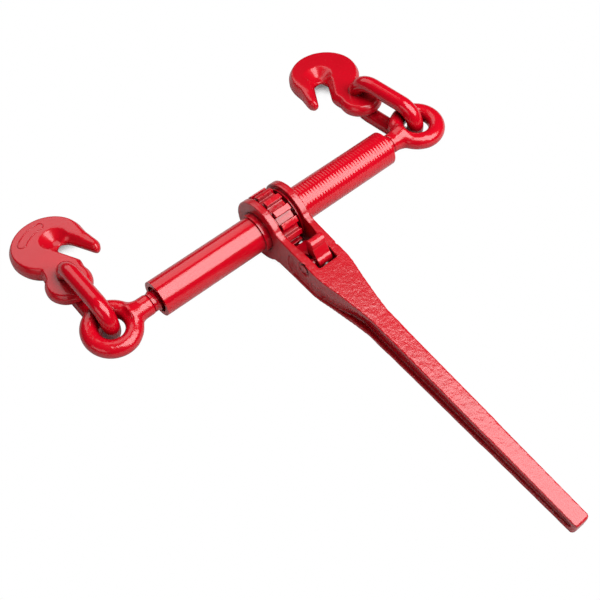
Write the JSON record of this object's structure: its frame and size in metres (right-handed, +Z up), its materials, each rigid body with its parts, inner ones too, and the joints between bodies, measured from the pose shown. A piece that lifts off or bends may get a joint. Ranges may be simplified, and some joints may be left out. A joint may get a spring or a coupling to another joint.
{
  "type": "ratchet load binder",
  "caption": "Ratchet load binder: a handled barrel draws in two eye screws, each with a link and a cradle grab hook, to tension a chain",
  "frame": {"origin": "centre of the outline, on the surface it lies on", "axes": "+X along the barrel, -Y along the lever, +Z up"},
  "size_m": [0.4016, 0.5143, 0.059],
  "materials": {
    "paint": "gloss",
    "steel": "satin"
  },
  "bodies": {
    "carrier": {"left_thrust_washer": "paint", "right_thrust_washer": "paint"},
    "lever": {"handle": "paint", "left_bush": "paint", "right_bush": "paint", "pawl_pin": "paint", "pawl_spring": "steel"},
    "barrel": {"ratchet_gear": "paint", "left_barrel": "paint", "right_barrel": "paint"},
    "pawl": {"pawl": "paint"},
    "plunger": {"pawl_plunger": "steel"},
    "left_screw": {"left_eye_screw": "paint", "left_stop_collar": "steel"},
    "right_screw": {"right_eye_screw": "paint", "right_stop_collar": "steel"},
    "left_link": {"left_link": "paint"},
    "right_link": {"right_link": "paint"},
    "left_hook": {"left_hook": "paint"},
    "right_hook": {"right_hook": "paint"}
  },
  "joints": [
    {"name": "handle_swing", "type": "hinge", "parent": "carrier", "child": "lever", "pos_m": [0.00145, 0.10653, 0.0295], "axis": [1, 0, 0], "range_deg": [-180, 180]},
    {"name": "barrel_turn", "type": "hinge", "parent": "carrier", "child": "barrel", "pos_m": [0.00145, 0.10653, 0.0295], "axis": [1, 0, 0], "range_deg": [0, 6120]},
    {"name": "left_screw_out", "type": "slide", "parent": "carrier", "child": "left_screw", "axis": [-1, 0, 0], "range_m": [0, 0.08636]},
    {"name": "right_screw_out", "type": "slide", "parent": "carrier", "child": "right_screw", "axis": [1, 0, 0], "range_m": [0, 0.08636]},
    {"name": "pawl_turn", "type": "hinge", "parent": "lever", "child": "pawl", "pos_m": [0.00145, 0.04672, 0.03517], "axis": [1, 0, 0], "range_deg": [-12, 8.25]},
    {"name": "plunger_in", "type": "slide", "parent": "lever", "child": "plunger", "axis": [0, -0.9984, -0.0558], "range_m": [0, 0.002], "deforming": ["pawl_spring"]},
    {"name": "left_link_swing", "type": "hinge", "parent": "left_screw", "child": "left_link", "pos_m": [-0.17385, 0.10653, 0.0295], "axis": [0, 0, 1], "range_deg": [-8, 180]},
    {"name": "right_link_swing", "type": "hinge", "parent": "right_screw", "child": "right_link", "pos_m": [0.17385, 0.10653, 0.0295], "axis": [0, 0, 1], "range_deg": [-180, 0]},
    {"name": "left_hook_swing", "type": "hinge", "parent": "left_link", "child": "left_hook", "pos_m": [-0.17258, 0.17902, 0.0295], "axis": [0, 0, 1], "range_deg": [-16, 35]},
    {"name": "right_hook_swing", "type": "hinge", "parent": "right_link", "child": "right_hook", "pos_m": [0.16251, 0.17814, 0.0295], "axis": [0, 0, 1], "range_deg": [-12, 40]}
  ],
  "couplings": [
    {"joint": "left_screw_out", "follows": "barrel_turn", "m_per_rad": 0.00080851},
    {"joint": "right_screw_out", "follows": "barrel_turn", "m_per_rad": 0.00080851}
  ]
}
